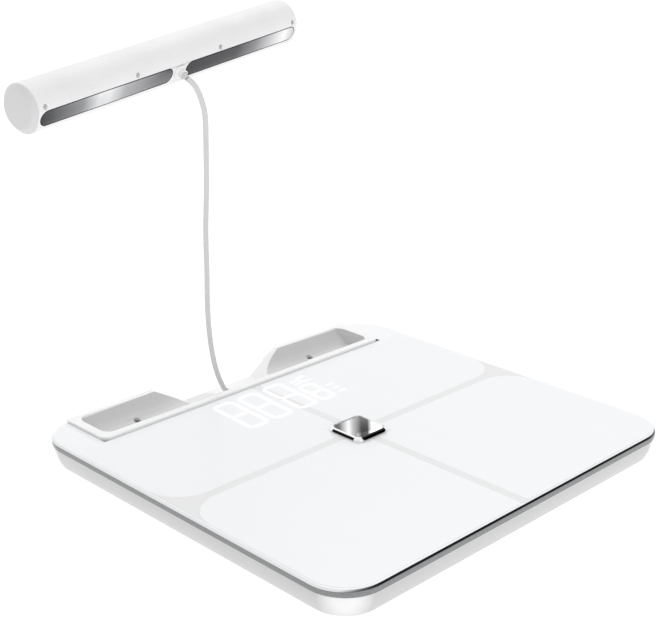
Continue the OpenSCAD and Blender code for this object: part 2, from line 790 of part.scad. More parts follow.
module foot_cup(x, y) {
  color("lightgray") translate([x, y, 0]) {
    translate([0, 0, pad_h]) cylinder(d = foot_d, h = floor_z - pad_h + run_gap);
    translate([0, 0, floor_z + run_gap]) cylinder(d = foot_d + 2 * flange_gap, h = 1.2);
    translate([0, 0, floor_z + run_gap]) cylinder(d = 12, h = 3.2 - run_gap - foot_travel - fit_gap);
  }
}

module foot_cup_front_left() { foot_cup(-foot_x, -foot_front_y); }
module foot_cup_front_right() { foot_cup(foot_x, -foot_front_y); }
module foot_cup_rear_left() { foot_cup(-foot_x, foot_rear_y); }
module foot_cup_rear_right() { foot_cup(foot_x, foot_rear_y); }

module foot_pad(x, y) {
  color("dimgray") translate([x, y, 0]) rotate_extrude()
    polygon([[0, 0], [foot_d / 2 - 1.4, 0], [foot_d / 2 - 0.6, 0.8], [foot_d / 2 - 0.6, pad_h],
      [0, pad_h]]);
}

module foot_pad_front_left() { foot_pad(-foot_x, -foot_front_y); }
module foot_pad_front_right() { foot_pad(foot_x, -foot_front_y); }
module foot_pad_rear_left() { foot_pad(-foot_x, foot_rear_y); }
module foot_pad_rear_right() { foot_pad(foot_x, foot_rear_y); }

// --- Hand bar -------------------------------------------------------------------

// Carries a piece from its place in the docked bar to the lifted bar.
// The piece is drawn with the bar along X and the plates facing -Z.
module lifted_bar() {
  translate(lift + pivot) rotate(turn_deg, turn_axis) translate(-pivot)
    translate([0, bar_y, bar_z]) rotate([flat_dip - 90, 0, 0]) children();
}

// The bar's solid outline, grown inwards by an amount
module bar_solid(shrink, x0, x1, bevel) {
  r = bar_r - shrink;
  intersection() {
    rotate([0, 90, 0]) rotate_extrude($fn = 96)
      polygon([[0, x0], [r - bevel, x0], [r, x0 + bevel], [r, x1 - bevel], [r - bevel, x1],
        [0, x1]]);
    box(x0 - 1, x1 + 1, -30, 30, shrink - flat_z, 30);
  }
}
split_z = -4;
cap_t = 3;

module bar_tube() {
  difference() {
    bar_solid(0, -bar_l / 2 + cap_t, bar_l / 2 - cap_t, 0);
    bar_solid(bar_wall, -bar_l / 2, bar_l / 2, 0);
  }
}

module bar_upper() {
  color("whitesmoke") lifted_bar() intersection() {
    bar_tube();
    box(-bar_l, bar_l, -30, 30, split_z, 30);
  }
}

// A stadium from one end of its axis to the other
module stadium(x0, x1, w, z0, z1) {
  r = w / 2;
  box(x0 + r, x1 - r, -r, r, z0, z1);
  for (x = [x0 + r, x1 - r]) translate([x, 0, z0]) cylinder(r = r, h = z1 - z0);
}

module bar_lower() {
  color("whitesmoke") lifted_bar() difference() {
    intersection() {
      bar_tube();
      box(-bar_l, bar_l, -30, 30, -30, split_z);
    }
    for (sx = [-1, 1]) scale([sx, 1, 1])
      stadium(plate_gap / 2 - 0.15, plate_gap / 2 + plate_l + 0.15, plate_w + 0.3, -flat_z - 1,
        -flat_z + plate_t - plate_proud);
    translate([0, 0, -30]) cylinder(d = 7.2, h = 30, $fn = 48);
    for (x = bar_screw_x) translate([x, bar_screw_y, -30])
      cylinder(d = bar_screw_d + 0.2, h = 26, $fn = 32);
  }
}
bar_screw_d = 2.8;
bar_screw_y = -plate_w / 2 - 2.3;
bar_screw_z = -sqrt(pow(bar_r, 2) - pow(bar_screw_y, 2));
bar_screw_x = [7.5 - bar_l / 2, -37, 37, bar_l / 2 - 7.5];

module bar_cap(side) {
  inner = bar_wall + 0.15;
  color("gainsboro") lifted_bar() scale([side, 1, 1]) {
    intersection() {
      bar_solid(0, -bar_l / 2, bar_l / 2, bar_bevel);
      box(bar_l / 2 - cap_t, bar_l, -30, 30, -30, 30);
    }
    bar_solid(inner, bar_l / 2 - cap_t - 2, bar_l / 2 - cap_t + 0.5, 0);
  }
}

module bar_cap_left() { bar_cap(-1); }
module bar_cap_right() { bar_cap(1); }

module hand_plate(side) {
  color("silver") lifted_bar() scale([side, 1, 1])
    stadium(plate_gap / 2, plate_gap / 2 + plate_l, plate_w, -flat_z - plate_proud,
      -flat_z - plate_proud + plate_t);
}

module hand_plate_left() { hand_plate(-1); }
module hand_plate_right() { hand_plate(1); }

module bar_board() {
  color("darkgreen") lifted_bar() box(-40, 40, -8, 8, split_z - 0.8, split_z + 0.8);
}

module bar_springs() {
  z0 = bar_wall - flat_z + 0.1;
  color("silver") lifted_bar() for (x = [-30, -14, 14, 30])
    translate([x, 0, z0]) cylinder(d = 3, h = split_z - 0.9 - z0, $fn = 32);
}

module bar_screws() {
  color("gray") lifted_bar() for (x = bar_screw_x) translate([x, bar_screw_y, bar_screw_z + 0.9])
    cylinder(d = bar_screw_d, h = split_z - 1.8 - bar_screw_z, $fn = 32);
}

module cord_boot() {
  z0 = bar_wall - flat_z + 0.3;
  color("white") lifted_bar() difference() {
    union() {
      translate([0, 0, -flat_z - 0.6]) cylinder(d = 7, h = flat_z + 0.6 + z0, $fn = 48);
      translate([0, 0, z0]) cylinder(d = 10, h = 1, $fn = 48);
      rotate_extrude($fn = 48) polygon([[0, -pivot_d], [3.1, -pivot_d], [3.1, -pivot_d + 1],
        [2.7, -pivot_d + 2.2], [3.3, -flat_z - 0.6], [4.6, -flat_z - 0.6], [4.6, -flat_z],
        [0, -flat_z]]);
    }
    translate([0, 0, -pivot_d]) sphere(r = ball_r + 0.35, $fn = 48);
  }
}

// Ferrule at the cord's end; the boot turns about its ball
module cord_end() {
  d = unit(stub_dir);
  color("gainsboro") translate(lift + pivot) {
    sphere(r = ball_r, $fn = 48);
    rotate([0, acos(d[2]), atan2(d[1], d[0])]) cylinder(d = cord_d, h = stub_l, $fn = 32);
  }
}

glass_platform();
glass_tape();
coat_front_left();
coat_front_right();
coat_rear_left();
coat_rear_right();
cross_print();
emblem_frame();
emblem_plate();
base_shell();
handle_cradle();
cradle_screws();
cord_grommet();
inner_cord();
handle_cord();
reel_housing();
reel_axle();
reel_cover();
reel_screws();
reel_drum();
reel_spring();
cord_coil();
display_board();
display_mask();
display_digits();
main_board();
main_chip();
unit_switch();
board_screws();
battery_box();
battery_cells();
battery_springs();
battery_plates();
battery_door();
unit_button();
load_cell_front_left();
load_cell_front_right();
load_cell_rear_left();
load_cell_rear_right();
cell_screws();
foot_cup_front_left();
foot_cup_front_right();
foot_cup_rear_left();
foot_cup_rear_right();
foot_pad_front_left();
foot_pad_front_right();
foot_pad_rear_left();
foot_pad_rear_right();
cord_end();
cord_boot();
bar_upper();
bar_lower();
bar_cap_left();
bar_cap_right();
hand_plate_left();
hand_plate_right();
bar_board();
bar_springs();
bar_screws();
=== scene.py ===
"""Bathroom scale with a hand bar on a pull-out cord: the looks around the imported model."""

import logging
import math
from collections.abc import Callable
from dataclasses import dataclass, replace
from enum import Enum

import bmesh
import bpy
from mathutils import Matrix, Vector


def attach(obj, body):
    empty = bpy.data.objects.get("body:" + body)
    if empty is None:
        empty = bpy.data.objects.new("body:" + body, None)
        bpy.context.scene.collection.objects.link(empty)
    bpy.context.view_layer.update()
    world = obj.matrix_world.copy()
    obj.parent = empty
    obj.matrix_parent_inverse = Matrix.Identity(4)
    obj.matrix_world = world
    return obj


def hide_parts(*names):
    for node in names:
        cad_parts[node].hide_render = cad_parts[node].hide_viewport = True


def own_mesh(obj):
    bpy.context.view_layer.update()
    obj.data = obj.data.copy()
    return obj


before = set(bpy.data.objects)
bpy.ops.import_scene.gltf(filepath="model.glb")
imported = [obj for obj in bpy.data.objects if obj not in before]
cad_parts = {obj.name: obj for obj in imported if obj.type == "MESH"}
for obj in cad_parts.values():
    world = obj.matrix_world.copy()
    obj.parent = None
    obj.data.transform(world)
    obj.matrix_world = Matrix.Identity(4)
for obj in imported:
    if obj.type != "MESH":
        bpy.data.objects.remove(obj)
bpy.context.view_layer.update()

LOG = logging.getLogger("scale")
MM = 0.001

# Materials made so far, by name: a finish that several pieces share is made once
MADE: dict[str, bpy.types.Material] = {}

Color = tuple[float, float, float, float]
Tree = bpy.types.NodeTree
Node = bpy.types.Node
Socket = bpy.types.NodeSocket
Piece = bpy.types.Object

# Mask values at the two ends of a ramp
OFF = (0, 0, 0, 1)
ON = (1, 1, 1, 1)

# How the bar stands: it is drawn docked, dipped about its own axis, then turned about
# the cord's end and lifted
LIFT_MM = (-53.0, -11.0, 230.0)
PIVOT_MM = (0.0, 107.0519, 13.9962)
DOCKED_MM = (0.0, 120.0, 26.5)
DIP_DEG = -46.0
TURN_DEG = 22.3
TURN_AXIS = (-0.89, -0.31, 0.33)


# --- Colours and nodes -----------------------------------------------------------

def linear(hex_color: str) -> Color:
    """Turns an sRGB hex colour to the linear values that shaders take.

    Args:
        hex_color: six hex digits, such as "f4f6f8".

    Returns:
        Linear red, green and blue, with an alpha of 1.
    """
    values = [int(hex_color[i:i + 2], 16) / 255 for i in (0, 2, 4)]
    parts = [v / 12.92 if v <= 0.04045 else ((v + 0.055) / 1.055) ** 2.4 for v in values]
    return (parts[0], parts[1], parts[2], 1.0)


def add_node(tree: Tree, kind: str, inputs: dict | None = None,
             **settings: object) -> Node:
    """Adds a node with its settings and links.

    Args:
        tree: the node tree to add to.
        kind: the node's type name.
        inputs: a value, or an output socket to link, for each input by name or number.
        settings: the node's own properties.

    Returns:
        The new node.
    """
    node = tree.nodes.new(kind)
    for name, value in settings.items():
        setattr(node, name, value)
    for name, value in (inputs or {}).items():
        if isinstance(value, bpy.types.NodeSocket):
            tree.links.new(value, node.inputs[name])
        else:
            node.inputs[name].default_value = value
    return node


def ramp(tree: Tree, factor: Socket, stops: list[tuple[float, Color]]) -> Socket:
    """Adds a colour ramp.

    Args:
        tree: the node tree to add to.
        factor: the output socket that drives the ramp.
        stops: pairs of place and linear colour, from 0 to 1.

    Returns:
        The ramp's colour socket.
    """
    node = add_node(tree, "ShaderNodeValToRGB", {"Fac": factor})
    band = node.color_ramp
    while len(band.elements) < len(stops):
        band.elements.new(0.5)
    for element, (place, color) in zip(band.elements, stops):
        element.position = place
        element.color = color
    return node.outputs["Color"]


def mask(tree: Tree, factor: Socket, start: float, end: float) -> Socket:
    """Adds a ramp that is off up to one value and on from another.

    Args:
        tree: the node tree to add to.
        factor: the output socket that drives the ramp.
        start: where the ramp leaves black.
        end: where it reaches white.

    Returns:
        The ramp's colour socket.
    """
    return ramp(tree, factor, [(start, OFF), (end, ON)])


def blend(tree: Tree, factor: Socket | float, first: object, second: object,
          kind: str = "MIX") -> Socket:
    """Adds a node that mixes two colours.

    Args:
        tree: the node tree to add to.
        factor: the share of the second colour.
        first: a colour or a socket.
        second: a colour or a socket.
        kind: the way they mix.

    Returns:
        The mixed colour's socket.
    """
    node = add_node(tree, "ShaderNodeMix", {"Factor": factor, 6: first, 7: second},
                    data_type="RGBA", blend_type=kind)
    return node.outputs[2]


def facing(tree: Tree) -> Node:
    """Adds the way the surface faces, split into X, Y and Z."""
    normal = add_node(tree, "ShaderNodeNewGeometry").outputs["Normal"]
    return add_node(tree, "ShaderNodeSeparateXYZ", {0: normal})


# --- Finishes ---------------------------------------------------------------------

@dataclass(frozen=True)
class Finish:
    """A surface finish: one look that several pieces may share."""

    name: str
    color: str
    roughness: float = 0.4
    metallic: float = 0.0
    ior: float = 1.46
    coat: float = 0.0
    grain_mm: float = 1.0
    grain_depth: float = 0.05
    mottle: float = 0.02

    def begin(self) -> tuple[Tree, Node, Socket]:
        """Makes the material with its shader.

        Returns:
            The node tree, the shader and the object coordinates in millimetres.
        """
        material = bpy.data.materials.new(self.name)
        material.use_nodes = True
        tree = material.node_tree
        tree.nodes.clear()
        shader = add_node(tree, "ShaderNodeBsdfPrincipled", {
            "Base Color": linear(self.color), "Roughness": self.roughness,
            "Metallic": self.metallic, "IOR": self.ior, "Coat Weight": self.coat})
        add_node(tree, "ShaderNodeOutputMaterial", {"Surface": shader.outputs["BSDF"]})
        place = add_node(tree, "ShaderNodeTexCoord")
        scaled = add_node(tree, "ShaderNodeVectorMath", {0: place.outputs["Object"],
                          1: (1000.0, 1000.0, 1000.0)}, operation="MULTIPLY")
        return tree, shader, scaled.outputs["Vector"]

    def surface(self, tree: Tree, shader: Node, place: Socket) -> None:
        """Gives the shader its pattern: moulded grain with slight patches of tone.

        Args:
            tree: the material's node tree.
            shader: the shader to link to.
            place: object coordinates in millimetres.
        """
        grain = add_node(tree, "ShaderNodeTexNoise", {"Vector": place,
                         "Scale": 1 / self.grain_mm, "Detail": 3.0})
        patches = add_node(tree, "ShaderNodeTexNoise", {"Vector": place,
                           "Scale": 0.04, "Detail": 2.0})
        base = linear(self.color)
        darker = tuple(c * (1 - 2.5 * self.mottle) for c in base[:3]) + (1.0,)
        mixed = add_node(tree, "ShaderNodeMath", {0: grain.outputs["Fac"],
                         1: patches.outputs["Fac"]}, operation="ADD")
        half = add_node(tree, "ShaderNodeMath", {0: mixed.outputs[0], 1: 0.5},
                        operation="MULTIPLY")
        tone = ramp(tree, half.outputs[0], [(0.3, darker), (0.6, base)])
        tree.links.new(tone, shader.inputs["Base Color"])
        bump = add_node(tree, "ShaderNodeBump", {"Height": grain.outputs["Fac"],
                        "Strength": 0.5, "Distance": self.grain_depth * MM})
        tree.links.new(bump.outputs["Normal"], shader.inputs["Normal"])

    def build(self) -> bpy.types.Material:
        """Makes the whole material, once for each name."""
        if self.name not in MADE:
            tree, shader, place = self.begin()
            self.surface(tree, shader, place)
            MADE[self.name] = bpy.data.materials[self.name]
        return MADE[self.name]


@dataclass(frozen=True)
class EdgePolishedGlass(Finish):
    """Glass printed white underneath, with a grey edge and a bevel whose tone is painted
    reflection, near-black in front.
    """

    edge: str = "808182"
    edge_light: str = "8e8f90"
    # lip and shade: the bevel's painted reflection, light at its sides and near-black where it
    # faces front
    lip: str = "e9eaeb"
    shade: str = "141415"

    def surface(self, tree: Tree, shader: Node, place: Socket) -> None:
        """Tells the white top, the bevel and the grey edge apart by the way they face; the
        bevel gets painted reflection.
        """
        parts = facing(tree)
        speck = add_node(tree, "ShaderNodeTexNoise", {"Vector": place, "Scale": 0.6})
        grey = ramp(tree, speck.outputs["Fac"], [(0.3, linear(self.edge)),
                    (0.7, linear(self.edge_light))])
        front = add_node(tree, "ShaderNodeMath", {0: parts.outputs["Y"], 1: -1.0},
                         operation="MULTIPLY")
        # painted reflection on the bevel, darkening as it faces front
        lip = ramp(tree, front.outputs[0], [(0.45, linear(self.lip)),
                   (0.66, linear(self.shade))])
        side = blend(tree, mask(tree, parts.outputs["Z"], 0.2, 0.45), grey, lip)
        tone = blend(tree, mask(tree, parts.outputs["Z"], 0.85, 0.97), side,
                     linear(self.color))
        tree.links.new(tone, shader.inputs["Base Color"])


@dataclass(frozen=True)
class LitFilm(Finish):
    """Film with a white light behind it."""

    glow: float = 0.12

    def surface(self, tree: Tree, shader: Node, place: Socket) -> None:
        """Adds the light behind the film to its surface."""
        super().surface(tree, shader, place)
        shader.inputs["Emission Color"].default_value = linear(self.color)
        shader.inputs["Emission Strength"].default_value = self.glow


@dataclass(frozen=True)
class PearlPlasticPaintedHighlight(Finish):
    """Pearl-filled plastic with a painted highlight where the shell's side turns a corner."""

    # colour of the painted corner highlight
    light: str = "fbfbfc"

    def surface(self, tree: Tree, shader: Node, place: Socket) -> None:
        """Paints a highlight on the shell where its side turns a corner."""
        super().surface(tree, shader, place)
        base = shader.inputs["Base Color"].links[0].from_socket
        parts = facing(tree)
        turn = add_node(tree, "ShaderNodeMath", {0: parts.outputs["X"],
                        1: parts.outputs["Y"]}, operation="MULTIPLY")
        size = add_node(tree, "ShaderNodeMath", {0: turn.outputs[0]}, operation="ABSOLUTE")
        # painted highlight where the side turns a corner
        share = mask(tree, size.outputs[0], 0.12, 0.46)
        tree.links.new(blend(tree, share, base, linear(self.light)),
                       shader.inputs["Base Color"])


@dataclass(frozen=True)
class PaintedReflectionMetal(Finish):
    """Polished metal with long soft light and dark bands of painted reflection across its
    length.
    """

    along: tuple[float, float, float] = (1.0, 0.0, 0.0)
    start_mm: float = 0.0
    length_mm: float = 100.0
    # light and dark bands of painted reflection, at places from 0 to 1 along the length
    bands: tuple[tuple[float, str], ...] = ((0.0, "606060"), (1.0, "ffffff"))
    brush_mm: float = 0.15

    def surface(self, tree: Tree, shader: Node, place: Socket) -> None:
        """Draws the painted reflection bands along the metal and fine polishing lines across
        it.
        """
        run = add_node(tree, "ShaderNodeVectorMath", {0: place, 1: self.along},
                       operation="DOT_PRODUCT")
        share = add_node(tree, "ShaderNodeMapRange", {"Value": run.outputs["Value"],
                         "From Min": self.start_mm, "From Max": self.start_mm + self.length_mm})
        # painted reflection bands along the length
        tone = ramp(tree, share.outputs["Result"], [(p, linear(c)) for p, c in self.bands])
        lines = add_node(tree, "ShaderNodeTexNoise", {"W": run.outputs["Value"],
                         "Scale": 1 / self.brush_mm, "Detail": 2.0}, noise_dimensions="1D")
        soft = ramp(tree, lines.outputs["Fac"], [(0.3, (0.93, 0.93, 0.93, 1)),
                    (0.7, ON)])
        tree.links.new(blend(tree, 1.0, tone, soft, "MULTIPLY"),
                       shader.inputs["Base Color"])
        bump = add_node(tree, "ShaderNodeBump", {"Height": lines.outputs["Fac"],
                        "Strength": 0.15, "Distance": 0.01 * MM})
        tree.links.new(bump.outputs["Normal"], shader.inputs["Normal"])


@dataclass(frozen=True)
class EmblemChrome(PaintedReflectionMetal):
    """Chrome on the emblem: painted reflection bands on top, and a dark painted reflection line
    round its sloping rim.
    """

    middle_mm: tuple[float, float, float] = (0.0, -3.0, 0.0)
    corner_mm: float = 10.5
    foot_mm: float = 21.3
    height_mm: float = 3.2
    # rim colours of the painted reflection: bright chrome, its foot and the near-black line
    bright: Color = (0.95, 0.95, 0.95, 1)
    foot: Color = (0.9, 0.9, 0.9, 1)
    dark: Color = (0.01, 0.01, 0.01, 1)

    def surface(self, tree: Tree, shader: Node, place: Socket) -> None:
        """Adds the rim's dark line of painted reflection, which stops short of the corners."""
        super().surface(tree, shader, place)
        top = shader.inputs["Base Color"].links[0].from_socket
        moved = add_node(tree, "ShaderNodeVectorMath", {0: place, 1: self.middle_mm},
                         operation="SUBTRACT")
        size = add_node(tree, "ShaderNodeVectorMath", {0: moved.outputs[0]},
                        operation="ABSOLUTE")
        parts = add_node(tree, "ShaderNodeSeparateXYZ", {0: size.outputs[0]})
        nearer = add_node(tree, "ShaderNodeMath", {0: parts.outputs["X"],
                          1: parts.outputs["Y"]}, operation="MINIMUM")
        reach = add_node(tree, "ShaderNodeMath", {0: nearer.outputs[0],
                         1: self.corner_mm}, operation="DIVIDE")
        corner = mask(tree, reach.outputs[0], 0.86, 0.98)
        level = add_node(tree, "ShaderNodeMapRange", {"Value": parts.outputs["Z"],
                         "From Min": self.foot_mm,
                         "From Max": self.foot_mm + self.height_mm})
        # dark band of painted reflection across the rim's height
        line = ramp(tree, level.outputs["Result"], [(0.2, self.foot), (0.3, self.dark),
                    (0.72, self.dark), (0.82, self.bright)])
        flat = mask(tree, facing(tree).outputs["Z"], 0.86, 0.97)
        rim = blend(tree, corner, line, self.bright)
        tree.links.new(blend(tree, flat, rim, top), shader.inputs["Base Color"])


@dataclass(frozen=True)
class BrushedMetal(Finish):
    """Plated or stamped metal with fine lines drawn one way."""

    def surface(self, tree: Tree, shader: Node, place: Socket) -> None:
        """Stretches a noise along X to draw the lines."""
        turned = add_node(tree, "ShaderNodeMapping", {"Vector": place,
                          "Scale": (0.05, 1.0, 1.0)})
        lines = add_node(tree, "ShaderNodeTexNoise", {"Vector": turned.outputs[0],
                         "Scale": 1 / self.grain_mm, "Detail": 4.0})
        base = linear(self.color)
        darker = tuple(c * 0.7 for c in base[:3]) + (1.0,)
        tone = ramp(tree, lines.outputs["Fac"], [(0.3, darker), (0.7, base)])
        tree.links.new(tone, shader.inputs["Base Color"])
        bump = add_node(tree, "ShaderNodeBump", {"Height": lines.outputs["Fac"],
                        "Strength": 0.3, "Distance": self.grain_depth * MM})
        tree.links.new(bump.outputs["Normal"], shader.inputs["Normal"])


@dataclass(frozen=True)
class LaminateBoard(Finish):
    """Glass-epoxy board under solder mask, with tracks a little lighter than the ground."""

    def surface(self, tree: Tree, shader: Node, place: Socket) -> None:
        """Draws square-cornered tracks with a Voronoi cell pattern."""
        cells = add_node(tree, "ShaderNodeTexVoronoi", {"Vector": place, "Scale": 0.35},
                         distance="CHEBYCHEV", feature="F1")
        base = linear(self.color)
        lighter = tuple(c * 1.8 for c in base[:3]) + (1.0,)
        tone = ramp(tree, cells.outputs["Distance"], [(0.45, base), (0.5, lighter)])
        tree.links.new(tone, shader.inputs["Base Color"])


class Look(Enum):
    """The finishes of the scale, each named for the real one."""

    # Float glass printed white underneath: cool white, glossy, grey at its edge
    GLASS = EdgePolishedGlass("white_backed_float_glass", "f1f3f5", 0.2, ior=1.52, coat=0.1)
    # Clear conductive oxide film over the white glass: the same cool white, a shade softer
    FILM = Finish("conductive_film", "f1f3f5", 0.32, ior=1.5, grain_mm=6.0,
                  grain_depth=0.002, mottle=0.003)
    # Screen print seen through gloss: pale neutral grey
    PRINT = Finish("grey_screen_print", "e7e7e8", 0.32, ior=1.5, grain_mm=1.5,
                   grain_depth=0.002, mottle=0.008)
    # Figures lit from below through the film: plain white with a faint glow
    FIGURES = LitFilm("lit_figures", "ffffff", 0.2, grain_mm=2.0, grain_depth=0.001,
                      mottle=0.004)
    # Satin pearl ABS, injection moulded: soft wide highlights, very fine grain, and a painted
    # highlight at the corners
    PEARL = PearlPlasticPaintedHighlight("satin_pearl_abs", "d0d0d1", 0.3, ior=1.53, coat=0.15,
                         grain_mm=0.5, grain_depth=0.01, mottle=0.01)
    # High-gloss white ABS from a polished tool
    GLOSS = Finish("polished_white_abs", "f4f4f4", 0.16, ior=1.53, coat=0.2, grain_mm=1.2,
                   grain_depth=0.006, mottle=0.008)
    # The trough's inner wall: satin finish from a dull part of the same tool, in a light grey
    # darker than the rim that is painted shade
    TROUGH = Finish("satin_trough_abs", "d5d5d6", 0.4, ior=1.53, grain_mm=0.8,
                    grain_depth=0.02, mottle=0.012)
    # ABS from a spark-eroded tool: neutral white with a fine matt grain
    ERODED = Finish("spark_eroded_abs", "f5f5f6", 0.52, ior=1.53, grain_mm=0.8,
                    grain_depth=0.08, mottle=0.03)
    # The same ABS on the end caps, in a greyer tone that is painted shade on their end faces
    CAP = Finish("end_cap_abs", "dadadb", 0.5, ior=1.53, grain_mm=0.7, grain_depth=0.06,
                 mottle=0.02)
    # Soft light grey PVC jacket: satin, with faint extrusion marks
    JACKET = Finish("soft_pvc_jacket", "d8d8d9", 0.34, ior=1.52, grain_mm=0.6,
                    grain_depth=0.02, mottle=0.02)
    # Matt light grey ABS of hidden and underside parts
    GREY = Finish("matt_grey_abs", "bfc1c3", 0.5, ior=1.53, grain_mm=0.6, grain_depth=0.03)
    # Matt black ABS
    BLACK = Finish("matt_black_abs", "1b1c1e", 0.5, ior=1.53, grain_mm=0.6, grain_depth=0.03,
                   mottle=0.05)
    # Natural acetal: waxy, slightly yellow white
    ACETAL = Finish("natural_acetal", "e8e6dc", 0.35, ior=1.48, grain_mm=1.0,
                    grain_depth=0.01)
    # Moulded rubber: matt mid grey
    RUBBER = Finish("moulded_rubber", "6d6f71", 0.75, ior=1.52, grain_mm=0.4,
                    grain_depth=0.04, mottle=0.04)
    # Closed-cell foam tape: matt dark grey with open pores
    FOAM = Finish("closed_cell_foam", "505153", 0.9, grain_mm=0.3, grain_depth=0.08,
                  mottle=0.06)
    # Painted shade in the gap round an inset plate: near-black
    SEAL = Finish("plate_gap_painted_shade", "2a2a2c", 0.6, grain_mm=0.4, grain_depth=0.01, mottle=0.05)
    # Zinc-plated screw steel
    ZINC = BrushedMetal("zinc_plated_steel", "a9acb0", 0.32, 1.0, grain_mm=0.12,
                        grain_depth=0.01)
    # Nickel-plated spring steel
    SPRING = BrushedMetal("nickel_spring_steel", "c0c1c2", 0.25, 1.0, grain_mm=0.1,
                          grain_depth=0.01)
    # Printed battery jacket: warm metallic film
    CELL = BrushedMetal("printed_cell_jacket", "b08d3c", 0.3, 0.6, grain_mm=0.5,
                        grain_depth=0.01)
    # Green solder mask over glass epoxy
    BOARD = LaminateBoard("solder_mask", "0f4a26", 0.3, ior=1.55)
    # Bright chrome on the emblem's frame, with painted reflection bands and a dark painted
    # reflection line on its rim
    CHROME = EmblemChrome("emblem_chrome", "ffffff", 0.08, 1.0, along=(0.713, -0.701, 0.0),
                          start_mm=-16.5, length_mm=37.0,
                          bands=((0.05, "f8f8f8"), (0.10, "3c3c3e"), (0.17, "5a5a5c"),
                                 (0.33, "f0f0f0"), (0.40, "b4b4b6"), (0.55, "2c2c2e"),
                                 (0.66, "363638"), (0.74, "fafafa"), (0.89, "ffffff"),
                                 (0.97, "303032")))
    # Electroplated steel of the left hand plate, with painted reflection: dark tip, white
    # middle, grey inner end
    LEFT_PLATE = PaintedReflectionMetal("left_plate_steel", "ffffff", 0.3, 1.0)
    # Electroplated steel of the right hand plate, with painted reflection: dark inner end,
    # bright tip
    RIGHT_PLATE = PaintedReflectionMetal("right_plate_steel", "ffffff", 0.3, 1.0)


# --- Modelling by hand, in code -----------------------------------------------------

def choose_nothing() -> None:
    """Deselects everything, so that an operator acts only on what is made next."""
    if bpy.context.object and bpy.context.object.mode != "OBJECT":
        bpy.ops.object.mode_set(mode="OBJECT")
    bpy.ops.object.select_all(action="DESELECT")


def choose(*objects: Piece) -> None:
    """Selects these objects and nothing else, and makes the first one active."""
    choose_nothing()
    for obj in objects:
        obj.select_set(True)
    bpy.context.view_layer.objects.active = objects[0]


def pick(obj: Piece, kind: str, test: Callable[..., bool]) -> None:
    """Selects faces or edges in edit mode by a test and deselects the rest.

    Args:
        obj: the object in edit mode.
        kind: "FACE" or "EDGE".
        test: takes a face's centre and normal, or an edge's two ends, in metres.
    """
    bpy.ops.mesh.select_mode(type=kind)
    bpy.ops.mesh.select_all(action="DESELECT")
    mesh = bmesh.from_edit_mesh(obj.data)
    for part in (mesh.faces if kind == "FACE" else mesh.edges):
        if kind == "FACE":
            hit = test(part.calc_center_median(), part.normal)
        else:
            hit = test(part.verts[0].co, part.verts[1].co)
        part.select_set(bool(hit))
    mesh.select_flush_mode()
    bmesh.update_edit_mesh(obj.data)


def edit(obj: Piece) -> None:
    """Opens an object in edit mode."""
    choose(obj)
    bpy.ops.object.mode_set(mode="EDIT")


def close() -> None:
    """Leaves edit mode."""
    bpy.ops.object.mode_set(mode="OBJECT")


def settle(obj: Piece, place: Matrix | None = None) -> None:
    """Puts an object's place into its mesh.

    Args:
        obj: the object, wherever it was modelled.
        place: a further transform to carry it by, in metres.
    """
    choose(obj)
    bpy.ops.object.transform_apply(location=True, rotation=True, scale=True)
    if place is not None:
        obj.matrix_world = place
        bpy.context.view_layer.update()
        bpy.ops.object.transform_apply(location=True, rotation=True, scale=True)


def block(name: str, low: tuple, high: tuple) -> Piece:
    """Adds a cube at its size and place, as the start of a piece.

    Args:
        name: the piece's name.
        low: lowest corner in millimetres.
        high: highest corner in millimetres.

    Returns:
        The new object, with its size applied.
    """
    a, b = Vector(low) * MM, Vector(high) * MM
    choose_nothing()
    bpy.ops.mesh.primitive_cube_add(size=1, location=(a + b) / 2, scale=b - a)
    obj = bpy.context.object
    obj.name = obj.data.name = name
    bpy.ops.object.transform_apply(location=True, rotation=True, scale=True)
    return obj


def soften(obj: Piece, width_mm: float, segments: int = 3,
           angle: float = 30.0) -> None:
    """Rounds an object's sharp edges with an applied bevel.

    Args:
        obj: the object.
        width_mm: the bevel's width.
        segments: rows of faces across the bevel.
        angle: edges that turn by more degrees than this are rounded.
    """
    choose(obj)
    bevel = obj.modifiers.new("Round", "BEVEL")
    bevel.width = width_mm * MM
    bevel.segments = segments
    bevel.limit_method = "ANGLE"
    bevel.angle_limit = math.radians(angle)
    bevel.use_clamp_overlap = True
    bpy.ops.object.modifier_apply(modifier=bevel.name)


def smooth(obj: Piece, angle: float = 35.0) -> None:
    """Smooths a surface up to its sharp edges.

    Args:
        obj: the object.
        angle: edges that turn by more degrees than this stay sharp.
    """
    choose(obj)
    bpy.ops.object.shade_smooth_by_angle(angle=math.radians(angle))


def recast(node: str, name: str, round_mm: float = 0.0, segments: int = 2,
           smooth_angle: float = 35.0) -> Piece:
    """Makes a finished copy of a CAD node: merged, its flats joined, its edges rounded.

    Args:
        node: the CAD node.
        name: the new piece's name.
        round_mm: width of the rounded edges, or 0 to leave them sharp.
        segments: rows of faces across each rounded edge.
        smooth_angle: edges that turn by more degrees than this stay sharp.

    Returns:
        The new object, which hides the node.
    """
    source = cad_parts[node]
    obj = bpy.data.objects.new(name, source.data.copy())
    obj.data.name = name
    bpy.context.scene.collection.objects.link(obj)
    edit(obj)
    bpy.ops.mesh.select_all(action="SELECT")
    bpy.ops.mesh.remove_doubles(threshold=2e-6)
    bpy.ops.mesh.dissolve_limited(angle_limit=math.radians(0.5))
    close()
    if round_mm:
        soften(obj, round_mm, segments)
    smooth(obj, smooth_angle)
    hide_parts(node)
    return obj


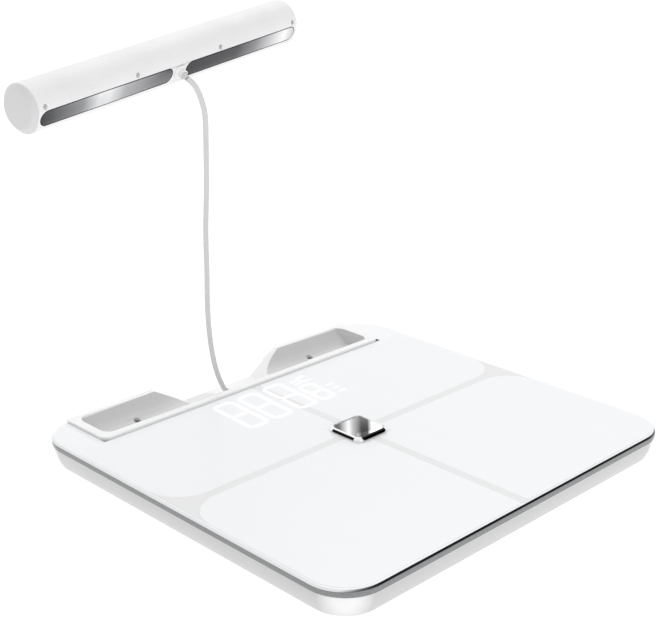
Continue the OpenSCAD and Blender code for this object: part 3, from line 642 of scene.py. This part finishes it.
def round_normals(obj: Piece, place: Matrix, radius_mm: float,
                  slack_mm: float = 0.1, straight: float = 0.99) -> None:
    """Shades a round surface as a true cylinder, whatever its facets.

    Args:
        obj: the object.
        place: the cylinder's frame, whose X is the axis.
        radius_mm: the cylinder's radius.
        slack_mm: how far a face's middle may lie from the radius.
        straight: least cosine between a face's normal and the way out from the axis.
    """
    back, turn = place.inverted(), place.to_3x3()
    mesh = obj.data
    normals = [Vector(n.vector) for n in mesh.corner_normals]
    for face in mesh.polygons:
        spot = back @ face.center
        out = Vector((0, spot.y, spot.z))
        on_side = abs(out.length / MM - radius_mm) < slack_mm
        if not on_side or out.normalized().dot(turn.inverted() @ face.normal) < straight:
            continue
        for loop in face.loop_indices:
            at = back @ mesh.vertices[mesh.loops[loop].vertex_index].co
            normals[loop] = (turn @ Vector((0, at.y, at.z))).normalized()
    mesh.normals_split_custom_set(normals)


def dress(obj: Piece, look: Finish, body: str) -> Piece:
    """Gives a piece its finish and its body, and reports it.

    Args:
        obj: the finished mesh.
        look: its finish.
        body: the CAD body that it rides on.

    Returns:
        The same object.
    """
    obj.data.materials.clear()
    obj.data.materials.append(look.build())
    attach(obj, body)
    LOG.info("%s: %d faces, %s, on %s", obj.name, len(obj.data.polygons), look.name, body)
    return obj


def paint(look: Finish, *nodes: str) -> None:
    """Gives CAD nodes that stay as they are a finish.

    Args:
        look: the finish.
        nodes: the nodes' names.
    """
    made = look.build()
    for name in nodes:
        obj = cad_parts[name]
        if not obj.material_slots:
            obj.data.materials.append(made)
        for place in obj.material_slots:
            place.material = made
        LOG.info("%s: %s", name, look.name)


# --- Studio -----------------------------------------------------------------------

@dataclass
class Studio:
    """Floor, lights and camera."""

    camera_mm: tuple = (-571.11, -556.19, 393.61)
    yaw: float = 44.522
    pitch: float = 20.008
    lens: float = 74.5
    floor_size: float = 40.0
    brightest_way: tuple = (0.45, 0.45, 0.77)
    flag_way: tuple = (0.66, -0.34, 0.67)
    sky_strength: float = 1.28
    aim: tuple = (0, 0, 0.1)

    def camera(self) -> None:
        """Sets the camera's place, direction and lens."""
        data = bpy.data.cameras.new("Camera")
        data.lens = self.lens
        data.sensor_width = 36.0
        data.clip_end = 100.0
        obj = bpy.data.objects.new("Camera", data)
        obj.location = Vector(self.camera_mm) * MM
        obj.rotation_euler = (math.radians(90 - self.pitch), 0, math.radians(-self.yaw))
        bpy.context.scene.collection.objects.link(obj)
        bpy.context.scene.camera = obj

    def floor(self) -> None:
        """Lays a white floor that glows a little, so that it stays white everywhere."""
        choose_nothing()
        bpy.ops.mesh.primitive_plane_add(size=self.floor_size, location=(0, 0, 0))
        obj = bpy.context.object
        obj.name = "studio_floor"
        material = bpy.data.materials.new("studio_paper")
        material.use_nodes = True
        shader = material.node_tree.nodes["Principled BSDF"]
        shader.inputs["Base Color"].default_value = linear("8c8c8c")
        shader.inputs["Roughness"].default_value = 0.9
        shader.inputs["Specular IOR Level"].default_value = 0.1
        shader.inputs["Emission Color"].default_value = linear("ffffff")
        shader.inputs["Emission Strength"].default_value = 0.84
        obj.data.materials.append(material)

    def sky(self) -> None:
        """Lights all round: brighter overhead, with a dark flag at the front right."""
        world = bpy.data.worlds.new("Studio")
        world.use_nodes = True
        bpy.context.scene.world = world
        tree = world.node_tree
        tree.nodes.clear()
        place = add_node(tree, "ShaderNodeTexCoord")
        lean = add_node(tree, "ShaderNodeVectorMath", {0: place.outputs["Generated"],
                        1: self.brightest_way}, operation="DOT_PRODUCT")
        share = add_node(tree, "ShaderNodeMapRange", {"Value": lean.outputs["Value"],
                         "From Min": -1.0, "From Max": 1.0})
        height = ramp(tree, share.outputs["Result"], [(0.0, (0.24, 0.24, 0.24, 1)),
                      (0.5, (0.5, 0.5, 0.5, 1)), (1.0, ON)])
        towards = add_node(tree, "ShaderNodeVectorMath", {0: place.outputs["Generated"],
                           1: self.flag_way}, operation="DOT_PRODUCT")
        flag = ramp(tree, towards.outputs["Value"], [(0.90, ON),
                    (0.955, (0.04, 0.04, 0.04, 1))])
        back = add_node(tree, "ShaderNodeBackground", {
            "Color": blend(tree, 1.0, height, flag, "MULTIPLY"),
            "Strength": self.sky_strength})
        add_node(tree, "ShaderNodeOutputWorld", {"Surface": back.outputs[0]})

    def lamp(self, name: str, place: tuple, size: float, power: float) -> None:
        """Adds a soft square light that faces the scale.

        Args:
            name: the lamp's name.
            place: where it stands, in metres.
            size: the length of its side, in metres.
            power: its power in watts.
        """
        data = bpy.data.lights.new(name, "AREA")
        data.size = size
        data.energy = power
        obj = bpy.data.objects.new(name, data)
        obj.location = place
        towards = Vector(self.aim) - Vector(place)
        obj.rotation_euler = towards.to_track_quat("-Z", "Y").to_euler()
        bpy.context.scene.collection.objects.link(obj)

    def build(self) -> None:
        """Sets up the whole studio."""
        self.camera()
        self.floor()
        self.sky()
        self.lamp("key", (1.2, 0.9, 1.9), 1.0, 4.0)
        self.lamp("front", (-0.3, -1.7, 1.1), 0.9, 5.0)
        self.lamp("corner", (-1.7, -1.75, 0.3), 0.3, 1.6)
        view = bpy.context.scene.view_settings
        view.view_transform = "Standard"
        view.look = "None"


# --- The hand bar's place -------------------------------------------------------------

def bar_place() -> Matrix:
    """Where the lifted bar stands: its X runs along the bar, its plates face -Z."""
    lift = Vector(LIFT_MM) * MM
    pivot = Vector(PIVOT_MM) * MM
    docked = Matrix.Translation(Vector(DOCKED_MM) * MM)
    dip = Matrix.Rotation(math.radians(DIP_DEG), 4, "X")
    turn = Matrix.Rotation(math.radians(TURN_DEG), 4, Vector(TURN_AXIS))
    return (Matrix.Translation(lift + pivot) @ turn @ Matrix.Translation(-pivot)
            @ docked @ dip)


BAR = bar_place()
BAR_AXIS = tuple(BAR.to_3x3() @ Vector((1, 0, 0)))
BAR_MIDDLE_MM = (BAR.translation / MM).dot(Vector(BAR_AXIS))


# --- Cord -----------------------------------------------------------------------------

@dataclass
class HandCord:
    """The cord from the cradle's front wall up to the hand bar."""

    diameter: float = 3.5
    steps: int = 6
    travel_mm: float = 236.284
    least_keep: float = 0.004
    route: tuple = (
        (0, 103, 11), (-0.4, 107.5, 11), (-3, 112.5, 11.8), (-6.5, 116, 13.6),
        (-10.5, 118, 17), (-17, 117.5, 31.5), (-22.5, 115.5, 50), (-26.5, 113, 70),
        (-29, 110.5, 89), (-31, 107.5, 109), (-34.5, 103, 140), (-36.5, 98.5, 169),
        (-39, 94.5, 197.5), (-41, 92, 217), (-44, 90.9, 227), (-47.5, 90.8, 235),
        (-50.6, 91.4, 239.6), (-52.7, 93.5, 242.3))

    def line(self) -> list[Vector]:
        """Runs a smooth curve through the route's points.

        Returns:
            The centreline's points, in metres.
        """
        points = [Vector(p) * MM for p in self.route]
        last = len(points) - 1
        line = []
        for i in range(last):
            p0, p1 = points[max(0, i - 1)], points[i]
            p2, p3 = points[i + 1], points[min(last, i + 2)]
            for k in range(self.steps):
                t = k / self.steps
                line.append(0.5 * (2 * p1 + (p2 - p0) * t
                            + (2 * p0 - 5 * p1 + 4 * p2 - p3) * t * t
                            + (3 * p1 - p0 - 3 * p2 + p3) * t ** 3))
        line.append(points[last])
        return line

    def build(self) -> None:
        line = self.line()
        curve = bpy.data.curves.new("cord_jacket", "CURVE")
        curve.dimensions = "3D"
        curve.twist_mode = "MINIMUM"
        curve.bevel_depth = self.diameter / 2 * MM
        curve.bevel_resolution = 6
        curve.use_fill_caps = True
        spline = curve.splines.new("POLY")
        spline.points.add(len(line) - 1)
        for point, place in zip(spline.points, line):
            point.co = (*place, 1.0)
        obj = bpy.data.objects.new("cord_jacket", curve)
        bpy.context.scene.collection.objects.link(obj)
        choose(obj)
        bpy.ops.object.convert(target="MESH")
        obj = bpy.context.object
        edit(obj)
        bpy.ops.mesh.select_all(action="SELECT")
        bpy.ops.mesh.remove_doubles(threshold=1e-6)
        bpy.ops.mesh.normals_make_consistent(inside=False)
        close()
        smooth(obj, 40)
        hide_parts("handle_cord")
        dress(obj, Look.JACKET.value, "platform")
        ferrule = recast("cord_end", "cord_ferrule_skin", 0.0)
        dress(ferrule, Look.JACKET.value, "cord_ferrule")
        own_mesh(obj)


# --- Platform ---------------------------------------------------------------------------

@dataclass
class Platform:
    """Glass, coats, printed cross, emblem and lit figures."""

    top: float = 21.5
    stroke: float = 3.2
    raise_mm: float = 0.04
    slant: float = 3.3
    slant_y: float = 68.5
    stroke_gap: float = 0.5
    digits: tuple = ((-38.0, 68.5, 18.0, 44.3), (-16.8, 68.5, 18.0, 44.3),
                     (6.0, 68.5, 18.0, 44.3), (25.0, 61.0, 15.0, 29.3))
    marks: tuple = ((20.0, 78.5, 7.0, 2.2), (20.0, 83.5, 7.0, 2.2), (28.5, 78.5, 7.5, 2.2),
                    (28.5, 86.5, 7.5, 2.2), (27.0, 80.0, 2.2, 6.5), (36.5, 56.0, 7.0, 2.2),
                    (36.5, 49.5, 7.0, 2.2), (36.5, 62.5, 7.0, 2.2))

    def stroke_piece(self, x0: float, x1: float, y0: float, y1: float) -> Piece:
        """Makes one lit stroke with mitred ends.

        Args:
            x0: left edge in millimetres.
            x1: right edge.
            y0: front edge.
            y1: rear edge.

        Returns:
            The stroke's object.
        """
        obj = block("stroke", (x0, y0, self.top - 0.05), (x1, y1, self.top + self.raise_mm))
        edit(obj)
        pick(obj, "EDGE", lambda a, b: abs(a.z - b.z) > 1e-6)
        bpy.ops.mesh.bevel(offset=min(x1 - x0, y1 - y0) * 0.42 * MM, segments=1,
                           affect="EDGES")
        close()
        return obj

    def figures(self) -> None:
        """Builds the four figures of seven strokes each and the small unit marks."""
        strokes = []
        for x, y, w, h in self.digits:
            s, gap = self.stroke, self.stroke_gap
            x0, x1, y0, y1 = x - w / 2, x + w / 2, y - h / 2, y + h / 2
            for level in (y0, y - s / 2, y1 - s):
                strokes.append(self.stroke_piece(x0 + s * 0.6, x1 - s * 0.6, level, level + s))
            for side in (x0, x1 - s):
                for low, high in ((y0 + s * 0.6, y - gap), (y + gap, y1 - s * 0.6)):
                    strokes.append(self.stroke_piece(side, side + s, low, high))
        for x, y, w, h in self.marks:
            strokes.append(self.stroke_piece(x, x + w, y, y + h))
        choose(*strokes)
        bpy.ops.object.join()
        obj = bpy.context.object
        obj.name = obj.data.name = "lit_figures"
        lean = Matrix.Identity(4)
        lean[0][1] = math.tan(math.radians(self.slant))
        lean[0][3] = -lean[0][1] * self.slant_y * MM
        obj.data.transform(lean)
        dress(obj, Look.FIGURES.value, "platform")

    def build(self) -> None:
        """Finishes the glass and everything on it."""
        glass = recast("glass_platform", "platform_glass", 0.15)
        dress(glass, Look.GLASS.value, "platform")
        paint(Look.FILM.value, "coat_front_left", "coat_front_right", "coat_rear_left",
              "coat_rear_right")
        paint(Look.PRINT.value, "cross_print")
        paint(Look.FOAM.value, "glass_tape")
        rim = recast("emblem_frame", "emblem_rim", 0.3, 3)
        dress(rim, Look.CHROME.value, "platform")
        inlay = recast("emblem_plate", "emblem_inlay", 0.2)
        dress(inlay, Look.CHROME.value, "platform")
        self.figures()


# --- Base ---------------------------------------------------------------------------------

@dataclass
class Base:
    """Shell, cradle, feet and what shows underneath."""

    corners: tuple = ("front_left", "front_right", "rear_left", "rear_right")
    trough_half: float = 120.2
    trough_y: tuple = (102.8, 137.2)
    trough_z: tuple = (8.5, 22.3)

    def trough(self, obj: Piece) -> None:
        """Gives the trough's curved walls their satin finish in a darker grey of painted shade;
        the ramps stay polished.

        Args:
            obj: the cradle.
        """
        # darker grey on the trough's walls as painted shade
        obj.data.materials.append(Look.TROUGH.value.build())
        for face in obj.data.polygons:
            spot, way = face.center / MM, face.normal
            ramp_face = 0.4 < abs(way.x) < 0.6 and abs(way.y) < 0.05
            inside = (abs(spot.x) < self.trough_half
                      and self.trough_y[0] < spot.y < self.trough_y[1]
                      and self.trough_z[0] < spot.z < self.trough_z[1])
            if inside and way.z < 0.999 and not ramp_face:
                face.material_index = 1

    def build(self) -> None:
        """Finishes the shell and everything screwed to it."""
        shell = recast("base_shell", "shell_skin", 0.0, smooth_angle=28)
        dress(shell, Look.PEARL.value, "platform")
        cradle = recast("handle_cradle", "cradle_skin", 0.5, 3, 28)
        dress(cradle, Look.GLOSS.value, "platform")
        self.trough(cradle)
        screws = recast("cradle_screws", "cradle_screw_heads", 0.15)
        dress(screws, Look.ZINC.value, "platform")
        grommet = recast("cord_grommet", "cord_exit_ring", 0.25, 3)
        dress(grommet, Look.CAP.value, "platform")
        door = recast("battery_door", "battery_hatch_cover", 0.2)
        dress(door, Look.GLOSS.value, "battery_hatch")
        key = recast("unit_button", "unit_key_cap", 0.4, 3)
        dress(key, Look.GREY.value, "unit_key")
        for corner in self.corners:
            body = "foot_" + corner
            cup = recast("foot_cup_" + corner, "cup_" + corner, 0.3)
            dress(cup, Look.GREY.value, body)
            pad = recast("foot_pad_" + corner, "pad_" + corner, 0.25)
            dress(pad, Look.RUBBER.value, body)


# --- Hand bar -------------------------------------------------------------------------------

@dataclass
class HandBar:
    """Shells, caps, plates and cord boot of the hand bar."""

    bar_r: float = 14.75
    plate_l: float = 107.0
    plate_w: float = 10.0
    plate_gap: float = 12.0
    plate_z: float = -13.8
    plate_t: float = 0.8
    seam: float = 0.35
    flat_z: float = 13.65
    # painted reflection along each plate, from its inner end to its tip
    left_reflection_bands: tuple = ((0.0, "6c6c6e"), (0.10, "7c7c7e"), (0.38, "b8b8ba"),
                         (0.50, "f4f4f4"), (0.58, "f4f4f4"), (0.70, "a4a4a6"),
                         (0.92, "6a6a6c"), (1.0, "545456"))
    right_reflection_bands: tuple = ((0.0, "4e4e50"), (0.45, "5a5a5c"), (0.62, "8e8e90"),
                          (0.78, "d0d0d2"), (0.9, "f8f8f8"), (1.0, "c8c8ca"))

    def plate_finish(self, side: int) -> PaintedReflectionMetal:
        """Chooses a plate's painted reflection bands.

        Args:
            side: -1 for the left plate and 1 for the right one.

        Returns:
            The finish, with its painted reflection bands running outwards from the bar's
            middle.
        """
        base = Look.RIGHT_PLATE if side > 0 else Look.LEFT_PLATE
        bands = self.right_reflection_bands if side > 0 else self.left_reflection_bands
        along = tuple(side * c for c in BAR_AXIS)
        start = side * BAR_MIDDLE_MM + self.plate_gap / 2
        return replace(base.value, along=along, start_mm=start, length_mm=self.plate_l,
                       bands=bands)

    def plate(self, side: int) -> None:
        """Models one hand plate: a long bar whose ends are rounded right round.

        Args:
            side: -1 for the left plate and 1 for the right one.
        """
        x0 = self.plate_gap / 2 + self.seam
        x1 = self.plate_gap / 2 + self.plate_l - self.seam
        half = self.plate_w / 2 - self.seam
        name = "hand_plate_face_" + ("right" if side > 0 else "left")
        low = (min(side * x0, side * x1), -half, self.plate_z)
        high = (max(side * x0, side * x1), half, self.plate_z + self.plate_t)
        obj = block(name, low, high)
        edit(obj)
        pick(obj, "EDGE", lambda a, b: abs(a.z - b.z) > 1e-6)
        bpy.ops.mesh.bevel(offset=(half - 0.01) * MM, segments=24, affect="EDGES")
        close()
        settle(obj, BAR)
        soften(obj, 0.25, 3, 40)
        smooth(obj, 40)
        node = "hand_plate_right" if side > 0 else "hand_plate_left"
        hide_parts(node)
        dress(obj, self.plate_finish(side), "hand_bar")

    def boot(self) -> None:
        """Turns the cord boot: a collar, a waist and a flared lip with a hollow mouth."""
        profile = ((3.5, 11.4), (3.5, 13.65), (4.4, 13.65), (4.6, 13.8), (4.6, 14.05),
                   (3.6, 14.4), (2.95, 15.0), (2.75, 15.6), (2.75, 16.2), (2.95, 17.0),
                   (3.1, 17.5), (3.05, 17.9), (2.8, 18.0), (2.4, 17.9), (2.3, 17.3))
        choose_nothing()
        bpy.ops.mesh.primitive_circle_add(vertices=48, radius=profile[0][0] * MM,
                                          location=(0, 0, -profile[0][1] * MM),
                                          fill_type="NGON")
        obj = bpy.context.object
        obj.name = obj.data.name = "cord_boot_skin"
        bpy.ops.object.transform_apply(location=True, rotation=True, scale=True)
        edit(obj)
        bpy.ops.mesh.select_all(action="SELECT")
        for (r0, z0), (r1, z1) in zip(profile, profile[1:]):
            bpy.ops.mesh.extrude_region_move(
                TRANSFORM_OT_translate={"value": (0, 0, (z0 - z1) * MM)})
            bpy.ops.transform.resize(value=(r1 / r0, r1 / r0, 1),
                                     center_override=(0, 0, 0))
        bpy.ops.mesh.select_all(action="SELECT")
        bpy.ops.mesh.normals_make_consistent(inside=False)
        close()
        settle(obj, BAR)
        smooth(obj, 50)
        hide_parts("cord_boot")
        dress(obj, Look.GLOSS.value, "hand_bar")

    def pocket(self, obj: Piece) -> None:
        """Paints the pockets round the plates near-black, as painted shade in the gap.

        Args:
            obj: the lower shell.
        """
        obj.data.materials.append(Look.SEAL.value.build())
        back = BAR.inverted()
        flat = -self.flat_z * MM
        for face in obj.data.polygons:
            spot = back @ face.center
            deep = flat + 0.05 * MM < spot.z < flat + 0.8 * MM
            inside = abs(spot.y) <= (self.plate_w / 2 + 0.3) * MM
            reach = self.plate_gap / 2 + self.plate_l + 0.5
            if deep and inside and 5 * MM < abs(spot.x) < reach * MM:
                face.material_index = 1

    def build(self) -> None:
        """Finishes the whole bar."""
        upper = recast("bar_upper", "bar_shell_upper", 0.0, smooth_angle=30)
        dress(upper, Look.ERODED.value, "hand_bar")
        lower = recast("bar_lower", "bar_shell_lower", 0.0, smooth_angle=30)
        dress(lower, Look.ERODED.value, "hand_bar")
        self.pocket(lower)
        for shell in (upper, lower):
            round_normals(shell, BAR, self.bar_r)
        for side in ("left", "right"):
            cap = recast("bar_cap_" + side, "bar_end_" + side, 0.6, 3)
            # greyer cap finish: painted shade on the end faces
            dress(cap, Look.CAP.value, "hand_bar")
        for side in (-1, 1):
            self.plate(side)
        self.boot()
        screws = recast("bar_screws", "bar_screw_heads", 0.1)
        dress(screws, Look.GREY.value, "hand_bar")


@dataclass
class Inside:
    """The parts inside the shell and the bar, which stay as the frame has them."""

    finishes: tuple = (
        (Look.BLACK, ("reel_housing", "reel_cover", "unit_switch", "main_chip")),
        (Look.ZINC, ("reel_axle", "reel_screws", "board_screws", "cell_screws")),
        (Look.ACETAL, ("reel_drum",)),
        (Look.SPRING, ("reel_spring", "battery_springs", "battery_plates", "bar_springs",
                       "load_cell_front_left", "load_cell_front_right",
                       "load_cell_rear_left", "load_cell_rear_right")),
        (Look.JACKET, ("cord_coil", "inner_cord")),
        (Look.BOARD, ("display_board", "main_board", "bar_board")),
        (Look.GREY, ("battery_box",)),
        (Look.GLOSS, ("display_mask",)),
        (Look.FIGURES, ("display_digits",)),
        (Look.CELL, ("battery_cells",)))

    def build(self) -> None:
        """Gives each hidden part its finish."""
        for look, nodes in self.finishes:
            paint(look.value, *nodes)


def main() -> None:
    """Builds the scene: camera and cord first, then each sub-assembly."""
    logging.basicConfig(level=logging.INFO, format="%(message)s")
    Studio().build()
    HandCord().build()
    Platform().build()
    Base().build()
    HandBar().build()
    Inside().build()


if __name__ == "__main__":
    main()
